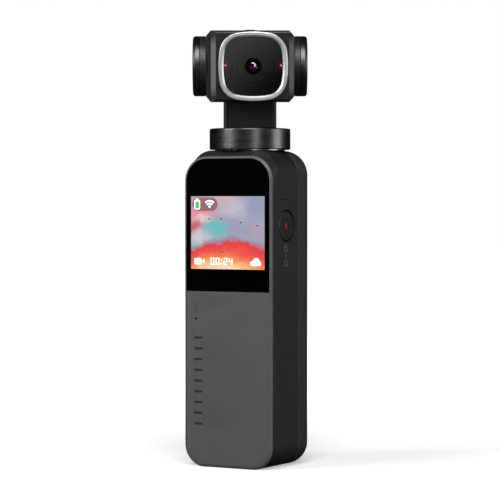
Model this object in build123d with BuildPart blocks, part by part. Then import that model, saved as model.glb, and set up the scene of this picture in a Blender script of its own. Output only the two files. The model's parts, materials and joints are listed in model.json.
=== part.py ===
from build123d import *

import math
import os

# Pocket camera with a three-axis stabilised head, in millimetres.
#
# The handle stands on its base, screen towards -Y and record button on +X. The origin is the
# centre of the base and +Z is up. Everything above the handle is drawn looking straight along
# -Y and is turned about Z by PAN_AT_REST as it is written, because the head rests turned.

os.makedirs("parts", exist_ok=True)

# ---------------------------------------------------------------- driving dimensions

# Handle
WIDTH = 28.0
DEPTH = 25.0
HEIGHT = 88.2
TOP_CORNER = 6.9
BOTTOM_CORNER = 6.2
REAR_ROUND = 6.0
WALL = 1.1
FRONT_Y = -DEPTH / 2
REAR_Y = DEPTH / 2
BEZEL_DEPTH = 0.9
BEZEL_BACK_Y = FRONT_Y + BEZEL_DEPTH
SEAM_Y = 2.55
SEAM_BEVEL = 0.15
CAVITY_TOP = HEIGHT - WALL
FACE_TOP = 86.5
SHOULDER_Y = -9.0
SIDE_X = WIDTH / 2
INNER_SIDE_X = SIDE_X - WALL

# Front: cover glass above, grey cover below, both set in the bezel
BEZEL_INSET = 0.65
BEZEL_BEVEL = 0.5
PANEL_INSET = BEZEL_INSET + 0.05
LEDGE_INSET = 1.65
LEDGE_WEB = 0.15
CROSSBAR_HEIGHT = 1.6
PANEL_BACK_Y = BEZEL_BACK_Y - LEDGE_WEB
GLASS_BOTTOM = 49.0
PANEL_GAP = 0.05
SCREEN_WIDTH = 23.6
SCREEN_HEIGHT = 20.2
SCREEN_Z = 65.3

# Record button and the openings near it
BUTTON_Y = -3.9
BUTTON_Z = 67.2
BUTTON_RADIUS = 4.2
BUTTON_GAP = 0.3
MIC_ROW_Z = 74.4
MIC_HOLE_RADIUS = 0.33
MIC_PITCH = 1.93

# Charging socket in the base
USB_Y = -2.8
USB_LENGTH = 8.94
USB_HEIGHT = 3.2

# Screws that close the handle
SCREW_PLACES = [(x, z) for z in (8.6, 80.4) for x in (-11.2, 11.2)]
BOSS_RADIUS = 2.0
BOSS_FRONT_Y = -8.6
SCREW_RADIUS = 0.8
SCREW_HEAD_RADIUS = 1.4
SCREW_TIP_Y = 6.9
TOWER_BACK_Y = 9.2

# Circuit board plane and what stands on it
BOARD_FRONT_Y = -5.4
BOARD_BACK_Y = -4.6

# Memory card, flat against the back of the board
CARD_Y = -3.5
CARD_Z = 30.0
CARD_THICKNESS = 1.0
CARD_WIDTH = 11.0
CARD_LENGTH = 15.0

# Head: the roll and pitch axes cross the pan axis at HEAD_Z
PAN_AT_REST = 30.0
HEAD_Z = 111.9
NOD_AT_REST = 3.4
BODY_GAP = 0.3

# Pan motor
PAN_RADIUS = 11.35
PAN_BOTTOM = HEIGHT + BODY_GAP
PAN_TOP = 94.35
PAN_WALL = 1.1
PAN_SEAT_RADIUS = 5.65
PAN_COLLAR_RADIUS = 9.8
PAN_COLLAR_HEIGHT = 0.6
PAN_MAGNET_INNER = 9.45
PAN_TUBE_RADIUS = 4.4
BEARING_OUTER = 3.5
PAN_SHAFT_RADIUS = 1.5
RUNNING_GAP = 0.03

# Yaw arm and roll motor behind the camera
ARM_WIDTH = 15.2
ARM_FRONT_Y = 12.1
ARM_BACK_Y = 16.1
ARM_EDGE = 1.0
ARM_COVER_THICKNESS = 0.45
ROLL_RADIUS = 11.2
ROLL_WALL = 1.08
ROLL_BACK_Y = 18.6
ROLL_CAP_DEPTH = 1.0
ROLL_TUBE_RADIUS = 3.2
SMALL_SHAFT_RADIUS = 1.0
SMALL_BEARING_OUTER = 2.5

# Roll frame: a fork that carries the pitch motor on the left and a pivot on the right
FORK_FRONT_Y = 10.3
FORK_BACK_Y = ARM_FRONT_Y - BODY_GAP
FORK_HALF_HEIGHT = 6.2
EAR_RADIUS = 8.43
EAR_BORE = 7.3
EAR_END_X = 15.98
EAR_SEAM_X = 14.0
EAR_EDGE = 0.8

# Camera housing
HOUSING_SIDE_X = 12.2
HOUSING_FLAT_X = 10.85
HOUSING_HALF_HEIGHT = 9.92
HOUSING_FRONT_Y = -9.5
CAMERA_WALL = 1.0
LENS_X = 0.9
RING_HALF = 9.64
RING_SIDE_RADIUS = 28.0
RING_CORNER = 5.85
RING_FRONT_Y = -10.3
RING_BAND = 1.4
GLASS_HALF = RING_HALF - RING_BAND
OPENING_HALF = RING_HALF - 1.0
LEDGE_HALF = GLASS_HALF - 0.45
GLASS_BACK_Y = -9.0
SPIGOT_BACK_Y = -8.6
BARREL_RADIUS = 6.4
BARREL_BACK_Y = -2.2
DOME_RADIUS = 3.4
SENSOR_FRONT_Y = -1.9
SENSOR_BOARD_Y = -0.9
TALLY_X = 7.4
PIN_START_X = 10.4
SEAL_RADIUS = 8.2
SEAL_THICKNESS = 0.24

# Share of the circumference that the shoes of a motor stator cover
SHOE_SHARE = 0.62


# ---------------------------------------------------------------- planes and shared shapes

def front_plane(y):
    """Plane at depth y facing the front: sketch x is X, sketch y is Z."""
    return Plane.XZ.offset(-y)


def side_plane(x):
    """Plane at x facing +X: sketch x is Y, sketch y is Z."""
    return Plane.YZ.offset(x)


def level(z):
    """Horizontal plane at height z."""
    return Plane.XY.offset(z)


def block(x_range, y_range, z_range, mode=Mode.ADD):
    """Box between two opposite corners."""
    spans = (x_range, y_range, z_range)
    centre = tuple((low + high) / 2 for low, high in spans)
    size = tuple(high - low for low, high in spans)
    with Locations(centre):
        Box(*size, mode=mode)


def round_bar(plane, centre, radius, length, bore=0.0, mode=Mode.ADD):
    """Cylinder standing on a plane, or a tube if it has a bore."""
    with BuildSketch(plane) as section:
        with Locations(centre):
            Circle(radius)
            if bore:
                Circle(bore, mode=Mode.SUBTRACT)
    extrude(section.sketch, amount=length, mode=mode)


def slot_bar(plane, centre, length, height, depth, mode=Mode.ADD):
    """Bar of stadium section standing on a plane."""
    with BuildSketch(plane) as section:
        with Locations(centre):
            SlotOverall(length, height)
    extrude(section.sketch, amount=depth, mode=mode)


def handle_outline(inset=0.0, top=HEIGHT):
    """Front outline of the handle in a sketch, up to a given top, drawn in by an inset."""
    with Locations((0, top / 2)):
        Rectangle(WIDTH - 2 * inset, top - 2 * inset)
    fillet(vertices().group_by(Axis.Y)[-1], TOP_CORNER - inset)
    fillet(vertices().group_by(Axis.Y)[0], BOTTOM_CORNER - inset)


def band(low, high):
    """Keep only the part of a front sketch between two heights."""
    with Locations((0, (low + high) / 2)):
        Rectangle(2 * WIDTH, high - low, mode=Mode.INTERSECT)


def ledge_window():
    """Cut the window inside the ledge from a front sketch, all but the crossbar."""
    with Locations((0, FACE_TOP / 2)):
        Rectangle(WIDTH - 2 * LEDGE_INSET, FACE_TOP - 2 * LEDGE_INSET, mode=Mode.SUBTRACT)
    with Locations((0, GLASS_BOTTOM)):
        Rectangle(WIDTH - 2 * LEDGE_INSET, CROSSBAR_HEIGHT)


def squircle(half, mode=Mode.ADD):
    """Rounded square with gently bowed sides, centred on the lens, in a front sketch."""
    reach = RING_SIDE_RADIUS - RING_HALF
    radius = half + reach
    with BuildSketch(mode=Mode.PRIVATE) as shape:
        for step, (x, y) in enumerate(((1, 0), (0, 1), (-1, 0), (0, -1))):
            with Locations((-x * reach, -y * reach)):
                Circle(radius, mode=Mode.INTERSECT if step else Mode.ADD)
        fillet(shape.vertices(), RING_CORNER - (RING_HALF - half))
    with Locations((LENS_X, HEAD_Z)):
        add(shape.sketch, mode=mode)


def stator_section(inner, outer, teeth):
    """Toothed stator core in a sketch centred on its shaft."""
    hub = 1.2
    tooth_width = 1.0
    shoe_width = SHOE_SHARE * 2 * math.pi * outer / teeth
    Circle(inner + hub)
    with PolarLocations((inner + outer) / 2, teeth):
        Rectangle(outer - inner - 0.4, tooth_width)
    with PolarLocations(outer - 0.45, teeth):
        Rectangle(0.8, shoe_width)
    Circle(outer, mode=Mode.INTERSECT)
    Circle(inner, mode=Mode.SUBTRACT)


def magnet_section(inner, outer, count):
    """Ring of separate magnets in a sketch centred on its shaft."""
    gap = 0.35
    Circle(outer)
    Circle(inner, mode=Mode.SUBTRACT)
    with PolarLocations((inner + outer) / 2, count):
        Rectangle(2 * (outer - inner), gap, mode=Mode.SUBTRACT)


def coils(plane, centre, radius, count, length, width, height):
    """Coils wound round the teeth of a stator, each a block with a slot for its tooth."""
    tooth_slot = 1.1
    with BuildSketch(plane) as wound:
        with Locations(centre):
            with PolarLocations(radius, count):
                RectangleRounded(length, width, 0.2)
    extrude(wound.sketch, amount=height)
    with BuildSketch(plane.offset(0.6)) as teeth:
        with Locations(centre):
            with PolarLocations(radius, count):
                Rectangle(length + 1, tooth_slot)
    extrude(teeth.sketch, amount=height - 1.2, mode=Mode.SUBTRACT)


def bearing(plane, centre, bore, outer, length):
    """Ball bearing with the shallow groove between its rings."""
    round_bar(plane, centre, outer, length, bore=bore)
    middle = (bore + outer) / 2
    for face in (plane, plane.offset(length - 0.2)):
        round_bar(face, centre, middle + 0.35, 0.2, bore=middle - 0.35, mode=Mode.SUBTRACT)


def write(name, piece, nod=0.0, turn=0.0):
    """Label a piece and write it, nodded about the pitch axis and turned about the pan axis."""
    solid = piece.part
    if nod:
        solid = solid.rotate(Axis((0, 0, HEAD_Z), (1, 0, 0)), nod)
    if turn:
        solid = solid.rotate(Axis.Z, turn)
    solid.label = name
    export_step(solid, f"parts/{name}.step")


# ---------------------------------------------------------------- handle: casing

def middle_block(inset=0.0):
    """Middle of the handle, or its cavity: the top slopes down to meet the front frame."""
    with BuildPart() as shape:
        with BuildSketch(front_plane(SEAM_Y)):
            handle_outline(inset)
        extrude(amount=SEAM_Y - SHOULDER_Y)
        with BuildSketch(front_plane(SHOULDER_Y)) as full:
            handle_outline(inset)
        with BuildSketch(front_plane(BEZEL_BACK_Y)) as lower:
            handle_outline(inset, FACE_TOP)
        loft(sections=[full.sketch, lower.sketch], ruled=True)
    return shape.part


def rear_block(inset=0.0):
    """Back of the handle, or its cavity: the outline with its rear edge rounded over."""
    back = REAR_Y - inset
    front = SEAM_Y - inset
    with BuildPart() as shape:
        with BuildSketch(front_plane(back)):
            handle_outline(inset)
        extrude(amount=back - front)
        fillet(shape.faces().sort_by(Axis.Y)[-1].edges(), REAR_ROUND - inset)
    return shape.part


middle_solid = middle_block()
middle_cavity = middle_block(WALL)

with BuildPart() as main_shell:
    add(middle_solid)
    chamfer(main_shell.faces().sort_by(Axis.Y)[-1].outer_wire().edges(), SEAM_BEVEL)
    add(middle_cavity, mode=Mode.SUBTRACT)
    for place in SCREW_PLACES:
        round_bar(front_plane(SEAM_Y), place, BOSS_RADIUS, SEAM_Y - BOSS_FRONT_Y)
        round_bar(front_plane(SEAM_Y), place, SCREW_RADIUS, SEAM_Y - BOSS_FRONT_Y,
                  mode=Mode.SUBTRACT)
    # Pan motor seat in the top, connector slot in the base
    round_bar(level(CAVITY_TOP), (0, 0), PAN_SEAT_RADIUS, WALL, mode=Mode.SUBTRACT)
    slot_bar(level(0), (0, USB_Y), USB_LENGTH + 0.56, USB_HEIGHT + 0.5, WALL,
             mode=Mode.SUBTRACT)
    # Button hole and the microphone row, in the right wall
    round_bar(side_plane(INNER_SIDE_X), (BUTTON_Y, BUTTON_Z), BUTTON_RADIUS + BUTTON_GAP,
              WALL, mode=Mode.SUBTRACT)
    for step in range(4):
        mic_y = BUTTON_Y - 0.35 + (step - 1.5) * MIC_PITCH
        round_bar(side_plane(INNER_SIDE_X), (mic_y, MIC_ROW_Z), MIC_HOLE_RADIUS, WALL,
                  mode=Mode.SUBTRACT)
    # Card slot and speaker holes in the left wall
    block((-SIDE_X, -INNER_SIDE_X), (CARD_Y - 0.8, CARD_Y + 0.8),
          (CARD_Z - 6.0, CARD_Z + 6.0), mode=Mode.SUBTRACT)
    for step in range(5):
        round_bar(side_plane(-SIDE_X), (-7.7, 15.4 + 1.9 * step), 0.45, WALL,
                  mode=Mode.SUBTRACT)

rear_solid = rear_block()
rear_cavity = rear_block(WALL)

with BuildPart() as rear_cover:
    add(rear_solid)
    chamfer(rear_cover.faces().sort_by(Axis.Y)[0].outer_wire().edges(), SEAM_BEVEL)
    add(rear_cavity, mode=Mode.SUBTRACT)
    # Screw towers, drilled part way, and the back half of the pan motor seat
    for place in SCREW_PLACES:
        round_bar(front_plane(TOWER_BACK_Y), place, BOSS_RADIUS, TOWER_BACK_Y - SEAM_Y)
        round_bar(front_plane(SCREW_TIP_Y + 0.1), place, SCREW_RADIUS,
                  SCREW_TIP_Y + 0.1 - SEAM_Y, mode=Mode.SUBTRACT)
    round_bar(level(CAVITY_TOP), (0, 0), PAN_SEAT_RADIUS, WALL, mode=Mode.SUBTRACT)

with BuildPart() as front_bezel:
    with BuildSketch(front_plane(BEZEL_BACK_Y)):
        handle_outline(0, FACE_TOP)
    extrude(amount=BEZEL_DEPTH)
    chamfer(front_bezel.faces().sort_by(Axis.Y)[0].outer_wire().edges(), BEZEL_BEVEL)
    with BuildSketch(front_plane(BEZEL_BACK_Y)):
        handle_outline(BEZEL_INSET, FACE_TOP)
    extrude(amount=BEZEL_DEPTH, mode=Mode.SUBTRACT)
    # Ledge behind the glass and the cover, with a crossbar under their joint
    with BuildSketch(front_plane(BEZEL_BACK_Y)):
        handle_outline(BEZEL_INSET - 0.1, FACE_TOP)
        ledge_window()
    extrude(amount=LEDGE_WEB)
    with BuildSketch(front_plane(BEZEL_BACK_Y + 1.0)):
        handle_outline(WALL + 0.04, FACE_TOP)
        ledge_window()
    extrude(amount=1.0)

with BuildPart() as screen_glass:
    with BuildSketch(front_plane(PANEL_BACK_Y)):
        handle_outline(PANEL_INSET, FACE_TOP)
        band(GLASS_BOTTOM + PANEL_GAP, FACE_TOP)
    extrude(amount=PANEL_BACK_Y - FRONT_Y - 0.05)

with BuildPart() as front_cover:
    with BuildSketch(front_plane(PANEL_BACK_Y)):
        handle_outline(PANEL_INSET, FACE_TOP)
        band(0, GLASS_BOTTOM - PANEL_GAP)
    extrude(amount=PANEL_BACK_Y - FRONT_Y)
    chamfer(front_cover.faces().sort_by(Axis.Y)[0].outer_wire().edges(), 0.1)
    # Microphone pinhole with its hairline mark
    round_bar(front_plane(BEZEL_BACK_Y), (-10.2, 41.3), 0.38, BEZEL_DEPTH, mode=Mode.SUBTRACT)
    block((-10.26, -10.14), (FRONT_Y, FRONT_Y + 0.08), (42.4, 46.0), mode=Mode.SUBTRACT)
    # Decorative column of plain engraved bars
    for step in range(9):
        slot_bar(front_plane(FRONT_Y + 0.12), (-9.45, 12.0 + 3.0 * step), 2.7, 0.7, 0.2,
                 mode=Mode.SUBTRACT)

with BuildPart() as housing_screws:
    for place in SCREW_PLACES:
        round_bar(front_plane(SCREW_TIP_Y), place, SCREW_RADIUS, SCREW_TIP_Y - BOSS_FRONT_Y)
        round_bar(front_plane(BOSS_FRONT_Y), place, SCREW_HEAD_RADIUS, 0.9)
        with BuildSketch(front_plane(BOSS_FRONT_Y - 0.4)) as socket:
            with Locations(place):
                RegularPolygon(0.6, 6)
        extrude(amount=0.5, mode=Mode.SUBTRACT)

# ---------------------------------------------------------------- handle: display and controls

with BuildPart() as lcd_panel:
    with BuildSketch(front_plane(-10.4)):
        with Locations((0, SCREEN_Z)):
            RectangleRounded(SCREEN_WIDTH + 0.8, SCREEN_HEIGHT + 3.2, 0.6)
    extrude(amount=1.0)

with BuildPart() as lcd_backlight:
    block((-12.1, 12.1), (-10.35, -9.35), (53.8, 76.8))
    fillet(lcd_backlight.edges().filter_by(Axis.Y), 0.6)

with BuildPart() as display_flex:
    # Ribbon from the foot of the panel, folded back to its plug on the board
    block((-3.5, 3.5), (-10.35, -10.2), (51.0, 53.7))
    block((-3.5, 3.5), (-10.2, -6.3), (51.0, 51.15))
    block((-4.2, 4.2), (-6.3, BOARD_FRONT_Y), (50.2, 52.6))

with BuildPart() as key_board:
    block((8.9, 9.5), (-7.4, -1.2), (62.0, 72.4))
    block((8.9, 9.5), (-4.5, -3.3), (61.0, 62.0))

with BuildPart() as tact_switch:
    block((9.5, 10.9), (BUTTON_Y - 1.7, BUTTON_Y + 1.7), (BUTTON_Z - 1.7, BUTTON_Z + 1.7))
    fillet(tact_switch.edges().filter_by(Axis.X), 0.4)
    round_bar(side_plane(10.9), (BUTTON_Y, BUTTON_Z), 1.1, 0.3)

with BuildPart() as record_button:
    round_bar(side_plane(12.7), (BUTTON_Y, BUTTON_Z), BUTTON_RADIUS, SIDE_X - 0.05 - 12.7)
    fillet(record_button.faces().sort_by(Axis.X)[-1].edges(), 0.35)
    # Round dimple in the middle of the cap for the record mark
    round_bar(side_plane(SIDE_X - 0.15), (BUTTON_Y, BUTTON_Z), 1.15, 0.2, mode=Mode.SUBTRACT)
    round_bar(side_plane(12.15), (BUTTON_Y, BUTTON_Z), BUTTON_RADIUS + 0.9, 0.6)
    round_bar(side_plane(11.65), (BUTTON_Y, BUTTON_Z), 0.9, 0.5)

with BuildPart() as microphones:
    block((11.5, INNER_SIDE_X), (-7.9, -0.6), (72.9, 75.9))
    block((-11.7, -8.7), (-11.55, -10.65), (39.8, 42.8))

with BuildPart() as speaker:
    block((-INNER_SIDE_X, -9.9), (-9.6, -5.8), (13.8, 24.6))
    fillet(speaker.edges().filter_by(Axis.X), 1.2)

# ---------------------------------------------------------------- handle: electronics

with BuildPart() as main_board:
    with BuildSketch(front_plane(BOARD_BACK_Y)):
        with BuildLine():
            Polyline((-7.4, 3.0), (7.4, 3.0), (7.4, 12.0), (11.4, 12.0), (11.4, 60.5),
                     (8.5, 60.5), (8.5, 77.0), (-11.4, 77.0), (-11.4, 12.0), (-7.4, 12.0),
                     close=True)
        make_face()
        with Locations((-9.5, 74.8), (9.5, 14.0), (-9.5, 46.5)):
            Circle(0.9, mode=Mode.SUBTRACT)
    extrude(amount=BOARD_BACK_Y - BOARD_FRONT_Y)

with BuildPart() as processor:
    block((-5.5, 5.5), (-6.6, BOARD_FRONT_Y), (29.0, 40.0))
    chamfer(processor.faces().sort_by(Axis.Y)[0].edges(), 0.2)

with BuildPart() as shield_can:
    block((-8.5, 8.5), (-7.2, BOARD_FRONT_Y), (26.0, 45.0))
    fillet(shield_can.edges().filter_by(Axis.Y), 0.8)
    block((-8.3, 8.3), (-7.0, BOARD_FRONT_Y), (26.2, 44.8), mode=Mode.SUBTRACT)

with BuildPart() as heat_spreader:
    block((-8.2, 8.2), (-7.5, -7.2), (27.0, 44.0))
    fillet(heat_spreader.edges().filter_by(Axis.Y), 1.0)

with BuildPart() as battery_cell:
    block((-9.8, 9.8), (-0.9, 9.9), (12.0, 68.0))
    fillet(battery_cell.edges().filter_by(Axis.Z), 1.6)
    # Folded top seal with the two welded tabs
    block((-8.6, 8.6), (3.4, 5.4), (68.0, 70.2))
    for x in (-4.5, 4.5):
        block((x - 1.2, x + 1.2), (4.2, 4.5), (70.2, 72.0))

with BuildPart() as battery_pad:
    block((-5.8, 5.8), (9.9, REAR_Y - WALL), (16.0, 64.0))

with BuildPart() as usb_c_socket:
    slot_bar(level(0.25), (0, USB_Y), USB_LENGTH, USB_HEIGHT, 7.3)
    slot_bar(level(0.25), (0, USB_Y), USB_LENGTH - 0.6, USB_HEIGHT - 0.6, 6.4,
             mode=Mode.SUBTRACT)
    block((-3.3, 3.3), (USB_Y - 0.35, USB_Y + 0.35), (1.2, 6.65))
    for x in (-4.3, 4.3):
        block((x - 0.6, x + 0.6), (BOARD_BACK_Y, -3.4), (4.0, 5.6))

with BuildPart() as card_socket:
    block((-12.2, 3.6), (BOARD_BACK_Y, -2.4), (CARD_Z - 6.6, CARD_Z + 6.6))
    block((-12.3, 3.0), (CARD_Y - 0.7, CARD_Y + 0.7), (CARD_Z - 5.75, CARD_Z + 5.75),
          mode=Mode.SUBTRACT)

with BuildPart() as memory_card:
    block((-13.6, -13.6 + CARD_LENGTH), (CARD_Y - CARD_THICKNESS / 2, CARD_Y + CARD_THICKNESS / 2),
          (CARD_Z - CARD_WIDTH / 2, CARD_Z + CARD_WIDTH / 2))
    fillet(memory_card.edges().filter_by(Axis.Y), 0.5)
    # Finger ridge at the outer end
    block((-13.4, -13.0), (CARD_Y - 0.7, CARD_Y - 0.5), (CARD_Z - 4.0, CARD_Z + 4.0))

with BuildPart() as wireless_antenna:
    block((-6.0, 6.0), (REAR_Y - WALL - 0.25, REAR_Y - WALL), (70.0, 80.0))
    block((-4.8, 4.8), (REAR_Y - WALL - 0.25, REAR_Y - WALL), (72.0, 78.0), mode=Mode.SUBTRACT)
    block((-0.4, 0.4), (REAR_Y - WALL - 0.25, REAR_Y - WALL), (71.5, 78.5))

# ---------------------------------------------------------------- pan motor

with BuildPart() as pan_motor_base:
    round_bar(level(85.6), (0, 0), 7.0, CAVITY_TOP - 85.6)
    round_bar(level(CAVITY_TOP), (0, 0), PAN_SEAT_RADIUS - 0.05, WALL)
    # Collar on top of the casing, half hidden inside the rim of the rotor cap
    round_bar(level(HEIGHT), (0, 0), PAN_COLLAR_RADIUS, PAN_COLLAR_HEIGHT)
    round_bar(level(80.6), (0, 0), PAN_TUBE_RADIUS, 92.6 - 80.6)
    round_bar(level(80.6), (0, 0), 2.6, 92.6 - 80.6, mode=Mode.SUBTRACT)
    for low in (80.6, 90.2):
        round_bar(level(low), (0, 0), BEARING_OUTER, 2.4, mode=Mode.SUBTRACT)

with BuildPart() as pan_stator:
    with BuildSketch(level(89.5)):
        stator_section(PAN_TUBE_RADIUS, PAN_MAGNET_INNER - 0.3, 9)
    extrude(amount=2.4)

with BuildPart() as pan_coils:
    coils(level(88.9), (0, 0), 6.95, 9, 1.9, 2.3, 3.6)

with BuildPart() as pan_bearings:
    for low in (80.6, 90.2):
        bearing(level(low), (0, 0), PAN_SHAFT_RADIUS + RUNNING_GAP, BEARING_OUTER, 2.4)

with BuildPart() as pan_rotor_cap:
    round_bar(level(PAN_BOTTOM), (0, 0), PAN_RADIUS, PAN_TOP - PAN_BOTTOM)
    fillet(pan_rotor_cap.faces().sort_by(Axis.Z)[-1].edges(), 0.45)
    chamfer(pan_rotor_cap.faces().sort_by(Axis.Z)[0].edges(), 0.2)
    round_bar(level(PAN_BOTTOM), (0, 0), PAN_RADIUS - PAN_WALL, PAN_TOP - 1.1 - PAN_BOTTOM,
              mode=Mode.SUBTRACT)
    round_bar(level(92.95), (0, 0), 3.0, PAN_TOP - 1.1 - 92.95)
    round_bar(level(92.95), (0, 0), PAN_SHAFT_RADIUS, 0.9, mode=Mode.SUBTRACT)

with BuildPart() as pan_magnets:
    with BuildSketch(level(89.0)):
        magnet_section(PAN_MAGNET_INNER, PAN_RADIUS - PAN_WALL, 12)
    extrude(amount=3.4)

with BuildPart() as pan_shaft:
    round_bar(level(80.8), (0, 0), PAN_SHAFT_RADIUS, 93.85 - 80.8)
    round_bar(level(80.8), (0, 0), 0.7, 92.5 - 80.8, mode=Mode.SUBTRACT)
    chamfer(pan_shaft.faces().sort_by(Axis.Z)[0].outer_wire().edges(), 0.15)

# ---------------------------------------------------------------- yaw arm and roll motor

# The cover plate is let into the upright, so the rolling fork passes in front of it
ARM_COVER_BOX = ((-6.3, 6.9), (ARM_FRONT_Y, ARM_FRONT_Y + ARM_COVER_THICKNESS),
                 (PAN_TOP + 0.5, 102.7))

with BuildPart() as yaw_arm:
    # Upright behind the camera, widening into the round roll motor housing
    with BuildSketch(level(PAN_BOTTOM + 0.4)) as upright:
        with Locations((0, (ARM_FRONT_Y + ARM_BACK_Y) / 2)):
            RectangleRounded(ARM_WIDTH, ARM_BACK_Y - ARM_FRONT_Y, ARM_EDGE)
    extrude(amount=HEAD_Z - PAN_BOTTOM - 0.4)
    # Foot that hugs the rotor cap
    block((-ARM_WIDTH / 2, ARM_WIDTH / 2), (7.0, ARM_FRONT_Y + 1.2), (PAN_BOTTOM + 0.4, PAN_TOP))
    round_bar(level(PAN_BOTTOM), (0, 0), PAN_RADIUS, PAN_TOP - PAN_BOTTOM, mode=Mode.SUBTRACT)
    round_bar(front_plane(ROLL_BACK_Y), (0, HEAD_Z), ROLL_RADIUS, ROLL_BACK_Y - ARM_FRONT_Y)
    round_bar(front_plane(ROLL_BACK_Y - 1.2), (0, HEAD_Z), ROLL_RADIUS - ROLL_WALL,
              ROLL_BACK_Y - 1.2 - ARM_FRONT_Y, mode=Mode.SUBTRACT)
    # Bearing tube on the back plate
    round_bar(front_plane(ROLL_BACK_Y), (0, HEAD_Z), ROLL_TUBE_RADIUS, ROLL_BACK_Y - 13.4)
    round_bar(front_plane(ROLL_BACK_Y), (0, HEAD_Z), SMALL_BEARING_OUTER, ROLL_BACK_Y - 13.4,
              mode=Mode.SUBTRACT)
    # Channel for the ribbon inside the upright
    block((-2.8, 2.8), (13.5, 14.7), (PAN_BOTTOM + 1.6, 101.2), mode=Mode.SUBTRACT)
    # Recess for the cover plate
    block(*ARM_COVER_BOX, mode=Mode.SUBTRACT)

with BuildPart() as arm_cover:
    # Plate that closes the front of the upright, bevelled all round
    block(*ARM_COVER_BOX)
    chamfer(arm_cover.faces().sort_by(Axis.Y)[0].edges(), 0.3)

with BuildPart() as arm_flex:
    block((-2.4, 2.4), (14.0, 14.2), (PAN_BOTTOM + 1.8, 101.0))

with BuildPart() as roll_motor_cap:
    round_bar(front_plane(ROLL_BACK_Y + ROLL_CAP_DEPTH), (0, HEAD_Z), ROLL_RADIUS, ROLL_CAP_DEPTH)
    fillet(roll_motor_cap.faces().sort_by(Axis.Y)[-1].edges(), 0.7)
    round_bar(front_plane(ROLL_BACK_Y + ROLL_CAP_DEPTH), (0, HEAD_Z), 7.4, 0.15, bore=7.0,
              mode=Mode.SUBTRACT)

with BuildPart() as roll_stator:
    with BuildSketch(front_plane(16.3)):
        with Locations((0, HEAD_Z)):
            with BuildSketch(mode=Mode.PRIVATE) as core:
                stator_section(ROLL_TUBE_RADIUS, 6.9, 9)
            add(core.sketch)
    extrude(amount=1.8)

with BuildPart() as roll_coils:
    coils(front_plane(16.9), (0, HEAD_Z), 5.25, 9, 1.4, 1.9, 3.0)

with BuildPart() as roll_bearings:
    for back in (18.5, 15.5):
        bearing(front_plane(back), (0, HEAD_Z), SMALL_SHAFT_RADIUS + RUNNING_GAP,
                SMALL_BEARING_OUTER, 2.0)

# ---------------------------------------------------------------- roll frame

with BuildPart() as roll_shaft:
    round_bar(front_plane(18.2), (0, HEAD_Z), SMALL_SHAFT_RADIUS, 18.2 - 10.4)

with BuildPart() as roll_bell:
    round_bar(front_plane(12.5), (0, HEAD_Z), 2.2, 12.5 - FORK_BACK_Y)
    round_bar(front_plane(13.1), (0, HEAD_Z), 8.8, 0.6)
    round_bar(front_plane(17.0), (0, HEAD_Z), 8.8, 3.9, bore=8.0)
    round_bar(front_plane(13.1), (0, HEAD_Z), SMALL_SHAFT_RADIUS, 13.1 - FORK_BACK_Y,
              mode=Mode.SUBTRACT)

with BuildPart() as roll_magnets:
    with BuildSketch(front_plane(16.8)):
        with Locations((0, HEAD_Z)):
            with BuildSketch(mode=Mode.PRIVATE) as ring:
                magnet_section(7.2, 8.0, 12)
            add(ring.sketch)
    extrude(amount=3.3)

FORK_EARS = ((-EAR_SEAM_X, -HOUSING_SIDE_X - BODY_GAP), (HOUSING_SIDE_X + BODY_GAP, EAR_SEAM_X))

with BuildPart() as roll_fork:
    block((-EAR_SEAM_X, EAR_SEAM_X), (FORK_FRONT_Y, FORK_BACK_Y),
          (HEAD_Z - FORK_HALF_HEIGHT, HEAD_Z + FORK_HALF_HEIGHT))
    for low, high in FORK_EARS:
        round_bar(side_plane(low), (0, HEAD_Z), EAR_RADIUS, high - low)
        block((low, high), (0, FORK_BACK_Y), (HEAD_Z - FORK_HALF_HEIGHT, HEAD_Z + FORK_HALF_HEIGHT))
    fillet(roll_fork.edges().filter_by(Axis.X).group_by(Axis.Y)[-1], 0.5)
    # Left ear is bored for the pitch rotor, right ear for the pivot bearing
    low, high = FORK_EARS[0]
    round_bar(side_plane(low), (0, HEAD_Z), EAR_BORE, high - low, mode=Mode.SUBTRACT)
    low, high = FORK_EARS[1]
    round_bar(side_plane(low), (0, HEAD_Z), SMALL_BEARING_OUTER, high - low, mode=Mode.SUBTRACT)
    round_bar(front_plane(FORK_BACK_Y), (0, HEAD_Z), SMALL_SHAFT_RADIUS, 2.0, mode=Mode.SUBTRACT)

with BuildPart() as pitch_motor_cap:
    round_bar(side_plane(-EAR_END_X), (0, HEAD_Z), EAR_RADIUS, EAR_END_X - EAR_SEAM_X)
    fillet(pitch_motor_cap.faces().sort_by(Axis.X)[0].edges(), EAR_EDGE)
    chamfer(pitch_motor_cap.faces().sort_by(Axis.X)[-1].edges(), SEAM_BEVEL)
    round_bar(side_plane(-EAR_END_X + 0.9), (0, HEAD_Z), EAR_BORE, 3.0, mode=Mode.SUBTRACT)
    round_bar(side_plane(-EAR_END_X + 0.9), (0, HEAD_Z), 3.0, 0.7)
    round_bar(side_plane(-EAR_END_X + 0.5), (0, HEAD_Z), SMALL_BEARING_OUTER, 1.1,
              mode=Mode.SUBTRACT)

with BuildPart() as pivot_cap:
    round_bar(side_plane(EAR_SEAM_X), (0, HEAD_Z), EAR_RADIUS, EAR_END_X - EAR_SEAM_X)
    fillet(pivot_cap.faces().sort_by(Axis.X)[-1].edges(), EAR_EDGE)
    chamfer(pivot_cap.faces().sort_by(Axis.X)[0].edges(), SEAM_BEVEL)
    round_bar(side_plane(EAR_SEAM_X), (0, HEAD_Z), EAR_BORE, 1.0, bore=3.4, mode=Mode.SUBTRACT)
    round_bar(side_plane(EAR_SEAM_X), (0, HEAD_Z), SMALL_BEARING_OUTER, 0.9, mode=Mode.SUBTRACT)

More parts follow.
